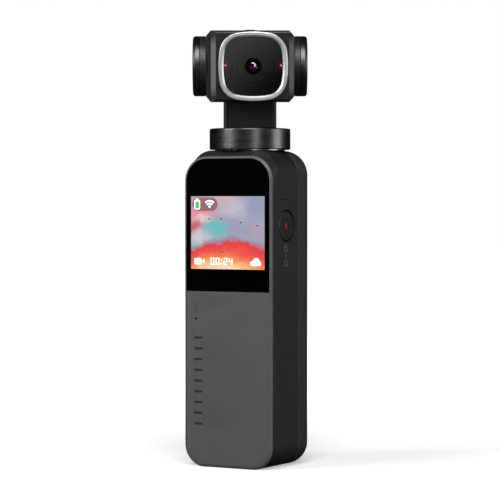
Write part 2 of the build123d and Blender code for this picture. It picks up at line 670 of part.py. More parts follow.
with BuildPart() as pitch_coils:
    with BuildSketch(side_plane(-EAR_END_X + 0.9)) as wound:
        with Locations((0, HEAD_Z)):
            with PolarLocations(5.1, 6):
                SlotOverall(3.6, 2.8, rotation=90)
                SlotOverall(1.7, 0.9, rotation=90, mode=Mode.SUBTRACT)
    extrude(amount=0.7)

with BuildPart() as pitch_bearings:
    bearing(side_plane(-EAR_END_X + 0.5), (0, HEAD_Z), SMALL_SHAFT_RADIUS + RUNNING_GAP,
            SMALL_BEARING_OUTER, 1.1)
    bearing(side_plane(FORK_EARS[1][0] + 0.1), (0, HEAD_Z), SMALL_SHAFT_RADIUS + RUNNING_GAP,
            SMALL_BEARING_OUTER, 2.2)

# ---------------------------------------------------------------- camera head


def camera_block(inset=0.0):
    """Camera housing, or its cavity: a side, a plan and a front outline cut from one block."""
    side_x, flat_x, half = HOUSING_SIDE_X, HOUSING_FLAT_X, HOUSING_HALF_HEIGHT
    front = HOUSING_FRONT_Y
    low, high = HEAD_Z - half, HEAD_Z + half
    with BuildPart() as shape:
        with BuildSketch(side_plane(-side_x)):
            with Locations((front / 2, HEAD_Z)):
                Rectangle(-front, 2 * half)
            fillet(vertices().group_by(Axis.X)[0], 0.9)
            with Locations((0, HEAD_Z)):
                Circle(half)
            if inset:
                offset(amount=-inset, kind=Kind.INTERSECTION)
        extrude(amount=2 * side_x)
        with BuildSketch(level(low)):
            # The left end has one facet more, so that both bevels match about the lens
            with BuildLine():
                Polyline((-side_x, 8.5), (-side_x, -7.4), (-flat_x, -8.9), (-9.45, front),
                         (flat_x, front), (side_x, -8.9), (side_x, 8.5), (flat_x, half),
                         (-flat_x, half), close=True)
            make_face()
            if inset:
                offset(amount=-inset, kind=Kind.INTERSECTION)
        extrude(amount=2 * half, mode=Mode.INTERSECT)
        with BuildSketch(front_plane(half)):
            with BuildLine():
                Polyline((-side_x, HEAD_Z + EAR_RADIUS), (-flat_x, high), (flat_x, high),
                         (side_x, HEAD_Z + EAR_RADIUS), (side_x, HEAD_Z - EAR_RADIUS),
                         (flat_x, low), (-flat_x, low), (-side_x, HEAD_Z - EAR_RADIUS),
                         close=True)
            make_face()
            if inset:
                offset(amount=-inset, kind=Kind.INTERSECTION)
        extrude(amount=half - front, mode=Mode.INTERSECT)
    return shape.part


camera_solid = camera_block()
camera_cavity = camera_block(CAMERA_WALL)

with BuildPart() as camera_front_shell:
    add(camera_solid)
    add(camera_cavity, mode=Mode.SUBTRACT)
    split(bisect_by=Plane.XZ, keep=Keep.TOP)
    # Second wall behind the ring: squircle recess in front, round seat for the barrel
    block((-9.0, 10.8), (-8.55, -7.6), (HEAD_Z - 8.95, HEAD_Z + 8.95))
    with BuildSketch(front_plane(SPIGOT_BACK_Y + 0.05)):
        squircle(OPENING_HALF)
    extrude(amount=2.0, mode=Mode.SUBTRACT)
    round_bar(front_plane(-7.0), (LENS_X, HEAD_Z), BARREL_RADIUS + 0.05, 3.0, mode=Mode.SUBTRACT)
    for side in (-1, 1):
        round_bar(front_plane(-7.0), (LENS_X + side * TALLY_X, HEAD_Z + 0.3), 0.32, 3.0,
                  mode=Mode.SUBTRACT)
    round_bar(side_plane(PIN_START_X), (0, HEAD_Z), SMALL_SHAFT_RADIUS, 3.0, mode=Mode.SUBTRACT)

with BuildPart() as camera_rear_shell:
    add(camera_solid)
    add(camera_cavity, mode=Mode.SUBTRACT)
    split(bisect_by=Plane.XZ, keep=Keep.BOTTOM)
    # Boss for the pivot pin, inside the right wall
    round_bar(side_plane(PIN_START_X), (0, HEAD_Z), 2.2, HOUSING_SIDE_X - 0.2 - PIN_START_X)
    split(bisect_by=Plane.XZ, keep=Keep.BOTTOM)
    round_bar(side_plane(PIN_START_X), (0, HEAD_Z), SMALL_SHAFT_RADIUS, 3.0, mode=Mode.SUBTRACT)

with BuildPart() as lens_ring:
    with BuildSketch(front_plane(HOUSING_FRONT_Y)):
        squircle(RING_HALF)
    extrude(amount=HOUSING_FRONT_Y - RING_FRONT_Y)
    fillet(lens_ring.faces().sort_by(Axis.Y)[0].edges(), 0.35)
    with BuildSketch(front_plane(SPIGOT_BACK_Y)):
        squircle(OPENING_HALF - 0.05)
    extrude(amount=SPIGOT_BACK_Y - HOUSING_FRONT_Y)
    with BuildSketch(front_plane(GLASS_BACK_Y)):
        squircle(GLASS_HALF)
    extrude(amount=GLASS_BACK_Y - RING_FRONT_Y, mode=Mode.SUBTRACT)
    chamfer(lens_ring.edges().group_by(Axis.Y)[0], length=0.45, length2=0.35)
    with BuildSketch(front_plane(SPIGOT_BACK_Y)):
        squircle(LEDGE_HALF)
    extrude(amount=1.0, mode=Mode.SUBTRACT)

with BuildPart() as lens_glass:
    with BuildSketch(front_plane(GLASS_BACK_Y)):
        squircle(GLASS_HALF - 0.03)
    extrude(amount=0.85)

with BuildPart() as lens_barrel:
    round_bar(front_plane(BARREL_BACK_Y), (LENS_X, HEAD_Z), BARREL_RADIUS,
              BARREL_BACK_Y - SPIGOT_BACK_Y)
    # Stepped light trap round the front element
    for step in range(6):
        round_bar(front_plane(-7.2 - 0.24 * step), (LENS_X, HEAD_Z), 2.9 + 0.55 * step, 2.0,
                  mode=Mode.SUBTRACT)
    round_bar(front_plane(BARREL_BACK_Y), (LENS_X, HEAD_Z), 4.0, 1.5, mode=Mode.SUBTRACT)
    round_bar(front_plane(BARREL_BACK_Y), (LENS_X, HEAD_Z), 2.4, 5.2, mode=Mode.SUBTRACT)

with BuildPart() as lens_elements:
    # Domed front element, a middle element and a rear field lens on one axis
    round_bar(front_plane(-6.4), (LENS_X, HEAD_Z), 2.38, 1.6)
    with Locations((LENS_X, DOME_RADIUS - 8.0, HEAD_Z)):
        Sphere(DOME_RADIUS, mode=Mode.INTERSECT)
    round_bar(front_plane(-4.6), (LENS_X, HEAD_Z), 2.38, 1.2)
    round_bar(front_plane(BARREL_BACK_Y - 0.1), (LENS_X, HEAD_Z), 3.95, 1.2)

with BuildPart() as image_sensor:
    block((LENS_X - 5.2, LENS_X + 5.2), (SENSOR_FRONT_Y, SENSOR_BOARD_Y),
          (HEAD_Z - 4.2, HEAD_Z + 4.2))
    chamfer(image_sensor.faces().sort_by(Axis.Y)[0].edges(), 0.15)

with BuildPart() as sensor_board:
    block((LENS_X - 9.0, LENS_X + 9.0), (SENSOR_BOARD_Y, -0.1), (HEAD_Z - 8.0, HEAD_Z + 8.0))
    fillet(sensor_board.edges().filter_by(Axis.Y), 1.5)

with BuildPart() as tally_lights:
    for side in (-1, 1):
        round_bar(front_plane(-7.7), (LENS_X + side * TALLY_X, HEAD_Z + 0.3), 0.3, 1.1)

with BuildPart() as pitch_rotor:
    round_bar(side_plane(-HOUSING_SIDE_X - 1.0), (0, HEAD_Z), 7.0, 1.0)
    round_bar(side_plane(-EAR_END_X + 0.6), (0, HEAD_Z), SMALL_SHAFT_RADIUS,
              EAR_END_X - 0.6 - HOUSING_SIDE_X - 1.0)

with BuildPart() as pitch_magnets:
    with BuildSketch(side_plane(-HOUSING_SIDE_X - 1.75)):
        with Locations((0, HEAD_Z)):
            with BuildSketch(mode=Mode.PRIVATE) as ring:
                magnet_section(3.4, 6.9, 8)
            add(ring.sketch)
    extrude(amount=0.75)

with BuildPart() as pivot_seals:
    # Dust rings that close the gaps between the housing and the two ears
    for start in (-HOUSING_SIDE_X - SEAL_THICKNESS, HOUSING_SIDE_X):
        round_bar(side_plane(start), (0, HEAD_Z), SEAL_RADIUS, SEAL_THICKNESS,
                  bore=EAR_BORE + 0.05)

with BuildPart() as pivot_pin:
    round_bar(side_plane(PIN_START_X), (0, HEAD_Z), SMALL_SHAFT_RADIUS, 14.4 - PIN_START_X)

# ---------------------------------------------------------------- writing

HANDLE_PIECES = {
    "main_shell": main_shell, "rear_cover": rear_cover, "front_bezel": front_bezel,
    "screen_glass": screen_glass, "front_cover": front_cover, "housing_screws": housing_screws,
    "lcd_panel": lcd_panel, "lcd_backlight": lcd_backlight, "display_flex": display_flex,
    "key_board": key_board, "tact_switch": tact_switch, "record_button": record_button,
    "microphones": microphones, "speaker": speaker, "main_board": main_board,
    "processor": processor, "shield_can": shield_can, "heat_spreader": heat_spreader,
    "battery_cell": battery_cell, "battery_pad": battery_pad, "usb_c_socket": usb_c_socket,
    "card_socket": card_socket, "memory_card": memory_card,
    "wireless_antenna": wireless_antenna, "pan_motor_base": pan_motor_base,
    "pan_stator": pan_stator, "pan_coils": pan_coils, "pan_bearings": pan_bearings,
}
HEAD_PIECES = {
    "pan_rotor_cap": pan_rotor_cap, "pan_magnets": pan_magnets, "pan_shaft": pan_shaft,
    "yaw_arm": yaw_arm, "arm_cover": arm_cover, "arm_flex": arm_flex,
    "roll_motor_cap": roll_motor_cap,
    "roll_stator": roll_stator, "roll_coils": roll_coils, "roll_bearings": roll_bearings,
    "roll_shaft": roll_shaft, "roll_bell": roll_bell, "roll_magnets": roll_magnets,
    "roll_fork": roll_fork, "pitch_motor_cap": pitch_motor_cap, "pivot_cap": pivot_cap,
    "pitch_coils": pitch_coils, "pitch_bearings": pitch_bearings,
}
CAMERA_PIECES = {
    "camera_front_shell": camera_front_shell, "camera_rear_shell": camera_rear_shell,
    "lens_ring": lens_ring, "lens_glass": lens_glass, "lens_barrel": lens_barrel,
    "lens_elements": lens_elements, "image_sensor": image_sensor,
    "sensor_board": sensor_board, "tally_lights": tally_lights, "pitch_rotor": pitch_rotor,
    "pitch_magnets": pitch_magnets, "pivot_pin": pivot_pin, "pivot_seals": pivot_seals,
}

for name, piece in HANDLE_PIECES.items():
    write(name, piece)
for name, piece in HEAD_PIECES.items():
    write(name, piece, turn=PAN_AT_REST)
for name, piece in CAMERA_PIECES.items():
    write(name, piece, nod=NOD_AT_REST, turn=PAN_AT_REST)
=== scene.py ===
import json
import math

import bmesh
import bpy
from mathutils import Matrix, Vector


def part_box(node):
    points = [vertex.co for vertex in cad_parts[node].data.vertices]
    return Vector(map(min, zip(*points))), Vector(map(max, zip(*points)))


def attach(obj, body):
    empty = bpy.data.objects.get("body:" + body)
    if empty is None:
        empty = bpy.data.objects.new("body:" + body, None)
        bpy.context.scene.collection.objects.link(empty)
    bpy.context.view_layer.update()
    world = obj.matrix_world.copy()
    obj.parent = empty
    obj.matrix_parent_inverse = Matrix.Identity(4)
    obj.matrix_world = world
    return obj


# Looks of a pocket camera with a three-axis stabilised head. All lengths are metres.

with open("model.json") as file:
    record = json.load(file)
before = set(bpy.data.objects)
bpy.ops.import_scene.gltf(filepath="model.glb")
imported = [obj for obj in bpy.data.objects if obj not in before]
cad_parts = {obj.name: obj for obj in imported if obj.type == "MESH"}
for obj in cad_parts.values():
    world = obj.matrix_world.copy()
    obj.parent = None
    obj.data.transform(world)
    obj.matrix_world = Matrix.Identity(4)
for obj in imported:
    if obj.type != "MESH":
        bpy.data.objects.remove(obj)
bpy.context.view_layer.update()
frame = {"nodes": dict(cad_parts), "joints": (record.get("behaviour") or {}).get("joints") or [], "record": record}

MM = 0.001

# ---------------------------------------------------------------- places, all from the frame

NODES = frame["nodes"]
JOINTS = {joint["name"]: joint for joint in frame["joints"]}
HEAD_AXIS = Vector(JOINTS["tilt"]["axis"])
HEAD_CENTRE = Vector(JOINTS["tilt"]["pos_m"])
HEAD_TURN = math.atan2(HEAD_AXIS.y, HEAD_AXIS.x)
# The camera's own tilt at rest about its pitch axis
HEAD_NOD = math.radians(3.4)
HEAD_MATRIX = (Matrix.Translation(HEAD_CENTRE) @ Matrix.Rotation(HEAD_TURN, 4, "Z")
               @ Matrix.Rotation(HEAD_NOD, 4, "X"))

GLASS_FRONT_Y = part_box("screen_glass")[0].y
PANEL_LOW, PANEL_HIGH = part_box("lcd_panel")
SCREEN_SIDE_MARGIN = 0.4 * MM
SCREEN_END_MARGIN = 1.6 * MM
SCREEN_LEFT = PANEL_LOW.x + SCREEN_SIDE_MARGIN
SCREEN_BOTTOM = PANEL_LOW.z + SCREEN_END_MARGIN
SCREEN_WIDTH = PANEL_HIGH.x - PANEL_LOW.x - 2 * SCREEN_SIDE_MARGIN
SCREEN_HEIGHT = PANEL_HIGH.z - PANEL_LOW.z - 2 * SCREEN_END_MARGIN
BUTTON_LOW, BUTTON_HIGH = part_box("record_button")
BUTTON_CENTRE = (BUTTON_LOW + BUTTON_HIGH) / 2
SHELL_SIDE_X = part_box("main_shell")[1].x

# ---------------------------------------------------------------- sizes of painted details

# Clear windows in the lens cover: one over the lens, one over each small light
LENS_WINDOW = 2.2 * MM
LIGHT_WINDOW = 0.36 * MM
# From the corner of the lights' box back to the centre of a light
LIGHT_INSET = 0.3 * MM
LIGHT_HEIGHT = 0.3 * MM
# Painted highlight strips on the housing's front chamfers, in the squared-up head's millimetres
LEFT_CHAMFER = (-10.85, -9.45)
RIGHT_CHAMFER = (10.85, 12.2)
CHAMFER_FRONT_Y = -8.85 * MM
# The painted highlight fades out towards the top and bottom of the housing
HIGHLIGHT_FADE = (5.6 * MM, 8.4 * MM)


# ---------------------------------------------------------------- node helpers

def srgb(red, green, blue):
    """Linear colour of an 8-bit screen colour."""
    values = [channel / 255 for channel in (red, green, blue)]
    linear = [v / 12.92 if v <= 0.04045 else ((v + 0.055) / 1.055) ** 2.4 for v in values]
    return (*linear, 1.0)


def grey(value):
    """Linear grey as a colour."""
    return (value, value, value, 1.0)


def tinted(colour, factor):
    """The colour made lighter or darker by a factor."""
    return tuple(min(1.0, channel * factor) for channel in colour[:3]) + (1.0,)


class Shader:
    """A material's node tree, with short calls for the nodes that these materials share."""

    def __init__(self, name):
        self.material = bpy.data.materials.new(name)
        self.material.use_nodes = True
        self.tree = self.material.node_tree
        self.tree.nodes.clear()
        self.output = self.tree.nodes.new("ShaderNodeOutputMaterial")

    def node(self, kind, inputs=None, **settings):
        """Add a node; an input is either another node's socket, which is linked, or a value."""
        made = self.tree.nodes.new(kind)
        for key, value in settings.items():
            setattr(made, key, value)
        for key, value in (inputs or {}).items():
            if isinstance(value, bpy.types.NodeSocket):
                self.tree.links.new(value, made.inputs[key])
            else:
                made.inputs[key].default_value = value
        return made

    def place(self):
        """Place of the shaded point in the row frame."""
        return self.node("ShaderNodeTexCoord").outputs["Object"]

    def head_place(self):
        """Place of the shaded point with the head squared up: y along the lens, x along its axis."""
        squared = self.node("ShaderNodeMapping", {"Vector": self.place()}, vector_type="TEXTURE")
        squared.inputs["Location"].default_value = HEAD_CENTRE
        squared.inputs["Rotation"].default_value = (HEAD_NOD, 0, HEAD_TURN)
        return squared.outputs["Vector"]

    def scaled(self, vector, scale):
        """Stretch a texture's place along each axis."""
        return self.node("ShaderNodeMapping", {"Vector": vector, "Scale": scale}).outputs["Vector"]

    def noise(self, vector, scale, detail=2.0, roughness=0.5):
        """Noise value round 0.5; the scale is in cells per metre."""
        made = self.node("ShaderNodeTexNoise", {"Vector": vector, "Scale": scale,
                                                "Detail": detail, "Roughness": roughness})
        return made.outputs["Fac"]

    def math(self, operation, first, second=0.0):
        """One arithmetic step on sockets or numbers."""
        made = self.node("ShaderNodeMath", operation=operation)
        for socket, value in zip(made.inputs, (first, second)):
            if isinstance(value, bpy.types.NodeSocket):
                self.tree.links.new(value, socket)
            else:
                socket.default_value = value
        return made.outputs[0]

    def length(self, first, second):
        """Length of the plane vector with these two components."""
        squares = [self.math("POWER", side, 2.0) for side in (first, second)]
        return self.math("SQRT", self.math("ADD", *squares))

    def spread(self, value, low, high, start=0.3, end=0.7):
        """Map start..end of a value to low..high, clamped."""
        return self.node("ShaderNodeMapRange", {"Value": value, "From Min": start,
                                                "From Max": end, "To Min": low,
                                                "To Max": high}).outputs["Result"]

    def mix(self, factor, first, second):
        """Blend two colours."""
        made = self.node("ShaderNodeMix", data_type="RGBA", clamp_factor=True)
        for socket, value in zip((made.inputs[0], made.inputs[6], made.inputs[7]),
                                 (factor, first, second)):
            if isinstance(value, bpy.types.NodeSocket):
                self.tree.links.new(value, socket)
            else:
                socket.default_value = value
        return made.outputs[2]

    def bump(self, height, strength, distance):
        """Surface normal disturbed by a height; the distance is its depth in metres."""
        return self.node("ShaderNodeBump", {"Height": height, "Strength": strength,
                                            "Distance": distance}).outputs["Normal"]

    def finish(self, **inputs):
        """Close the tree with one Principled shader."""
        words = {key.replace("_", " "): value for key, value in inputs.items()}
        shader = self.node("ShaderNodeBsdfPrincipled", words)
        self.tree.links.new(shader.outputs[0], self.output.inputs["Surface"])
        return self.material


# ---------------------------------------------------------------- materials

def moulded(name, colour, roughness, grain=0.35, worn=1.6):
    """Moulded or painted surface: fine grain, uneven gloss, faint handling marks, lighter edges."""
    s = Shader(name)
    place = s.place()
    cloud = s.noise(place, 90, 3.0)
    fine = s.noise(place, 9000, 2.0)
    smear = s.noise(s.scaled(place, (1.0, 1.0, 0.35)), 420, 4.0, 0.65)
    base = s.mix(s.spread(cloud, 0, 1), tinted(colour, 0.9), tinted(colour, 1.1))
    edge = s.node("ShaderNodeNewGeometry").outputs["Pointiness"]
    base = s.mix(s.spread(edge, 0, 0.6, 0.52, 0.6), base, tinted(colour, worn))
    rough = s.spread(smear, roughness - 0.06, roughness + 0.07)
    return s.finish(Base_Color=base, Roughness=rough,
                    Normal=s.bump(fine, grain, 0.00002))


def turned_metal(name, colour, roughness, along, head=True, strength=0.5):
    """Metal turned or brushed so that its fine lines cross the given direction."""
    s = Shader(name)
    place = s.head_place() if head else s.place()
    stretch = tuple(1.0 if along[axis] else 0.02 for axis in range(3))
    lines = s.noise(s.scaled(place, stretch), 5200, 3.0, 0.7)
    cloud = s.noise(place, 160, 2.0)
    shade = s.spread(lines, 0.72, 1.25)
    base = s.mix(s.spread(cloud, 0, 1), tinted(colour, 0.88), colour)
    lined = s.node("ShaderNodeVectorMath", {0: base}, operation="SCALE")
    s.tree.links.new(shade, lined.inputs["Scale"])
    rough = s.spread(lines, roughness - 0.05, roughness + 0.09)
    return s.finish(Base_Color=lined.outputs["Vector"], Roughness=rough, Metallic=1.0,
                    Normal=s.bump(lines, strength, 0.000012))


def glossy_coat(name, colour, speck=0.0):
    """Gloss-coated part with faint orange peel."""
    s = Shader(name)
    place = s.place()
    peel = s.noise(place, 1500, 1.0)
    dots = s.noise(place, 7000, 1.0)
    light = tuple(min(1, c * (1 + speck) + 0.02 * speck) for c in colour[:3]) + (1,)
    return s.finish(Base_Color=s.mix(s.spread(dots, 0, 1, 0.5, 0.75), colour, light),
                    Roughness=s.spread(peel, 0.16, 0.26), Coat_Weight=0.6, Coat_Roughness=0.08,
                    Normal=s.bump(peel, 0.1, 0.00001))


def circuit_board():
    """Green solder mask over a grid of tracks."""
    s = Shader("circuit_board")
    place = s.place()
    cells = s.node("ShaderNodeTexBrick", {"Vector": place, "Scale": 700.0,
                                          "Mortar Size": 0.03, "Color1": srgb(12, 74, 44),
                                          "Color2": srgb(9, 60, 38), "Mortar": srgb(26, 112, 70)})
    gold = s.noise(place, 900, 0.0)
    base = s.mix(s.spread(gold, 0, 1, 0.70, 0.72), cells.outputs["Color"], srgb(190, 160, 84))
    return s.finish(Base_Color=base, Roughness=s.spread(gold, 0.25, 0.4), Coat_Weight=0.3)


# The picture on the screen: soft clouds over a grey-blue sky, then a glowing hill. Each cloud is
# its centre and its reach in screen widths and heights, then its colour and its strength.
SKY = srgb(164, 164, 186)
CLOUDS = (
    (0.92, 0.96, 0.50, 0.34, srgb(150, 158, 182), 1.0),
    (0.60, 0.86, 0.30, 0.22, srgb(204, 200, 214), 0.7),
    (0.10, 0.80, 0.42, 0.28, srgb(230, 150, 158), 0.95),
    (0.40, 0.98, 0.26, 0.16, srgb(222, 178, 182), 0.8),
    (0.20, 0.68, 0.20, 0.12, srgb(240, 214, 214), 0.7),
    (0.05, 0.58, 0.20, 0.12, srgb(206, 96, 104), 0.9),
    (0.10, 0.44, 0.26, 0.14, srgb(214, 206, 214), 0.8),
    (0.35, 0.56, 0.24, 0.19, srgb(104, 190, 194), 0.95),
    (0.66, 0.56, 0.30, 0.18, srgb(158, 154, 186), 0.8),
    (0.90, 0.56, 0.20, 0.16, srgb(190, 156, 176), 0.6),
    (0.06, 0.32, 0.24, 0.12, srgb(150, 196, 200), 0.8),
)
HILL_PEAK = 0.46
HILL_HEIGHT = 0.43
HILL_SLOPE = 0.28
HILL_COLOURS = ((0.0, srgb(176, 96, 120)), (0.10, srgb(222, 66, 70)), (0.34, srgb(240, 88, 80)),
                (0.55, srgb(248, 134, 92)), (0.74, srgb(253, 190, 122)), (0.95, srgb(248, 222, 204)))


def screen_cover():
    """Black-backed glass whose screen window glows with the picture."""
    s = Shader("screen_cover")
    place = s.place()
    flat = s.node("ShaderNodeMapping", {"Vector": place}, vector_type="TEXTURE")
    flat.inputs["Location"].default_value = (SCREEN_LEFT, 0, SCREEN_BOTTOM)
    flat.inputs["Scale"].default_value = (SCREEN_WIDTH, 1.0, SCREEN_HEIGHT)
    split = s.node("ShaderNodeSeparateXYZ", {"Vector": flat.outputs["Vector"]})
    across, up, depth = split.outputs["X"], split.outputs["Z"], split.outputs["Y"]
    warp = s.node("ShaderNodeTexNoise", {"Vector": flat.outputs["Vector"], "Scale": 3.4,
                                         "Detail": 5.0, "Roughness": 0.6})
    warped = s.node("ShaderNodeSeparateColor", {"Color": warp.outputs["Color"]})
    sway = [s.math("SUBTRACT", warped.outputs[channel], 0.5) for channel in (0, 1)]
    sway_x = s.math("ADD", across, s.math("MULTIPLY", sway[0], 0.40))
    sway_z = s.math("ADD", up, s.math("MULTIPLY", sway[1], 0.32))
    picture = SKY
    for u, v, wide, tall, colour, strength in CLOUDS:
        dx = s.math("DIVIDE", s.math("SUBTRACT", sway_x, u), wide)
        dz = s.math("DIVIDE", s.math("SUBTRACT", sway_z, v), tall)
        reach = s.length(dx, dz)
        near = s.node("ShaderNodeMapRange", {"Value": reach, "From Min": 0.15, "From Max": 1.0,
                                             "To Min": strength, "To Max": 0.0},
                      interpolation_type="SMOOTHSTEP")
        picture = s.mix(near.outputs["Result"], picture, colour)
    fall = s.math("MULTIPLY", s.math("ABSOLUTE", s.math("SUBTRACT", sway_x, HILL_PEAK)),
                  HILL_SLOPE)
    below = s.math("SUBTRACT", s.math("SUBTRACT", HILL_HEIGHT, fall), sway_z)
    hill_depth = s.math("DIVIDE", below, HILL_HEIGHT)
    ramp = s.node("ShaderNodeValToRGB", {"Fac": hill_depth})
    stops = ramp.color_ramp.elements
    while len(stops) < len(HILL_COLOURS):
        stops.new(0.5)
    for stop, (position, colour) in zip(stops, HILL_COLOURS):
        stop.position = position
        stop.color = colour
    hill = s.spread(below, 0.0, 1.0, -0.05, 0.05)
    picture = s.mix(hill, picture, ramp.outputs["Color"])
    window = s.math("MULTIPLY", edge_mask(s, across), edge_mask(s, up))
    facing = s.math("LESS_THAN", depth, GLASS_FRONT_Y + 0.1 * MM)
    glow = s.mix(s.math("MULTIPLY", window, facing), grey(0.0), picture)
    smear = s.noise(s.scaled(place, (1.0, 1.0, 0.3)), 260, 4.0, 0.6)
    return s.finish(Base_Color=s.mix(s.spread(smear, 0, 1), grey(0.0006), grey(0.0012)),
                    Roughness=s.spread(smear, 0.03, 0.06), IOR=1.45,
                    Emission_Color=glow, Emission_Strength=1.0)


def edge_mask(s, value):
    """1 inside the range 0 to 1 of a coordinate and 0 outside."""
    return s.math("MULTIPLY", s.math("GREATER_THAN", value, 0.0), s.math("LESS_THAN", value, 1.0))


def lens_cover():
    """Smoked cover glass, printed dark round a clear middle, with faint rings, a painted sheen that is lighter
    towards the upper left, a painted shade ring round the clear middle and a painted red glow round the lights.
    """
    s = Shader("lens_cover")
    low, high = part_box("lens_glass")
    middle = HEAD_MATRIX.inverted() @ ((low + high) / 2)
    split = s.node("ShaderNodeSeparateXYZ", {"Vector": s.head_place()})
    dx = s.math("SUBTRACT", split.outputs["X"], middle.x)
    dz = split.outputs["Z"]
    radius = s.length(dx, dz)
    rings = s.math("SINE", s.math("MULTIPLY", radius, 5200.0))
    # Painted reflection: the print is lighter towards the upper left and darker towards the lower right, a painted
    # sheen of a soft light; the faint rings ride on it
    slope = s.math("ADD", s.math("MULTIPLY", dx, -46.0), s.math("MULTIPLY", dz, 58.0))
    shade = s.spread(s.math("ADD", slope, s.math("MULTIPLY", rings, 0.05)),
                     0.0, 1.0, -0.45, 0.8)
    # Painted shade: the print is darker in a ring round the clear middle, where the lens opening lies in shade
    painted_shade_ring = s.spread(radius, 0.45, 1.0, 2.2 * MM, 2.9 * MM)
    # The dark print carries the painted sheen and the painted shade ring
    print_with_painted_light = s.node("ShaderNodeVectorMath", {0: s.mix(shade, grey(0.006), grey(0.06))},
                     operation="SCALE")
    s.tree.links.new(painted_shade_ring, print_with_painted_light.inputs["Scale"])
    # Clear windows over the lens and over the two lights, with a painted red glow round the lights: the glass
    # itself glows there, as if lit by them
    corner = HEAD_MATRIX.inverted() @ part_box("tally_lights")[1]
    light_dx = s.math("SUBTRACT", s.math("ABSOLUTE", dx), abs(corner.x - middle.x) - LIGHT_INSET)
    light_dz = s.math("SUBTRACT", dz, LIGHT_HEIGHT)
    light_radius = s.length(light_dx, light_dz)
    clear = s.math("MAXIMUM", s.math("LESS_THAN", radius, LENS_WINDOW),
                   s.math("LESS_THAN", light_radius, LIGHT_WINDOW))
    # Painted light: a dim red glow in the cover glass round each light
    painted_red_glow = s.spread(light_radius, 0.22, 0.0, 0.2 * MM, 1.5 * MM)
    return s.finish(Base_Color=s.mix(clear, print_with_painted_light.outputs["Vector"], grey(0.9)),
                    Roughness=0.05, IOR=1.45, Transmission_Weight=clear,
                    Emission_Color=srgb(150, 12, 48), Emission_Strength=painted_red_glow)


def coated_optics():
    """Dark lens glass with a purple to pink anti-reflection coating."""
    s = Shader("coated_optics")
    place = s.head_place()
    split = s.node("ShaderNodeSeparateXYZ", {"Vector": place})
    tone = s.noise(place, 900, 1.0)
    height = s.math("ADD", s.math("MULTIPLY", split.outputs["Z"], 300.0),
                    s.math("MULTIPLY", tone, 0.6))
    tint = s.mix(s.spread(height, 0, 1, -0.2, 0.9), srgb(120, 90, 170), srgb(236, 150, 214))
    return s.finish(Base_Color=tint, Metallic=0.9, Roughness=s.spread(tone, 0.10, 0.16),
                    Coat_Weight=1.0, Coat_Roughness=0.05)


def camera_casing():
    """Black housing with painted highlight strips along its two front chamfers, fading towards the top and bottom.
    """
    s = Shader("camera_casing")
    place = s.head_place()
    split = s.node("ShaderNodeSeparateXYZ", {"Vector": place})
    x, y, z = (split.outputs[axis] for axis in "XYZ")
    left = band_mask(s, x, *LEFT_CHAMFER)
    right = band_mask(s, x, *RIGHT_CHAMFER)
    front = s.math("LESS_THAN", y, CHAMFER_FRONT_Y)
    fade = s.spread(s.math("ABSOLUTE", z), 1.0, 0.0, *HIGHLIGHT_FADE)
    # Painted highlight: light grey, slightly metallic strips on the front chamfers stand in for the light they
    # catch
    painted_highlight = s.math("MULTIPLY", s.math("MULTIPLY", s.math("ADD", left, right), front), fade)
    cloud = s.noise(place, 160, 3.0)
    fine = s.noise(place, 9000, 2.0)
    black = s.mix(s.spread(cloud, 0, 1), grey(0.0035), grey(0.0055))
    edge = s.node("ShaderNodeNewGeometry").outputs["Pointiness"]
    black = s.mix(s.spread(edge, 0, 0.7, 0.52, 0.6), black, grey(0.03))
    return s.finish(Base_Color=s.mix(painted_highlight, black, grey(0.16)),
                    Roughness=s.spread(cloud, 0.30, 0.38), Specular_IOR_Level=0.4,
                    Metallic=s.math("MULTIPLY", painted_highlight, 0.2),
                    Normal=s.bump(fine, 0.2, 0.00002))


def band_mask(s, value, low, high):
    """1 where a length lies between two values in millimetres and 0 elsewhere."""
    return s.math("MULTIPLY", s.math("GREATER_THAN", value, low * MM),
                  s.math("LESS_THAN", value, high * MM))


def bright_rim():
    """Polished metal ring with fine lines along it and a satin break-up."""
    s = Shader("bright_rim")
    place = s.head_place()
    lines = s.noise(s.scaled(place, (1.0, 0.05, 1.0)), 4200, 3.0, 0.7)
    cloud = s.noise(place, 220, 2.0)
    base = s.mix(s.spread(cloud, 0, 1), srgb(212, 212, 214), srgb(234, 234, 236))
    return s.finish(Base_Color=base, Metallic=0.6, Roughness=s.spread(lines, 0.26, 0.38),
                    Normal=s.bump(lines, 0.2, 0.00001))


def lamp(name, colour, strength):
    """Small glowing lamp or screen mark; the record mark uses it too, as a painted glow."""
    s = Shader(name)
    speck = s.noise(s.place(), 2500, 1.0)
    glow = s.mix(s.spread(speck, 0, 1), tinted(colour, 0.85), colour)
    return s.finish(Base_Color=glow, Roughness=0.35, Emission_Color=glow,
                    Emission_Strength=strength)


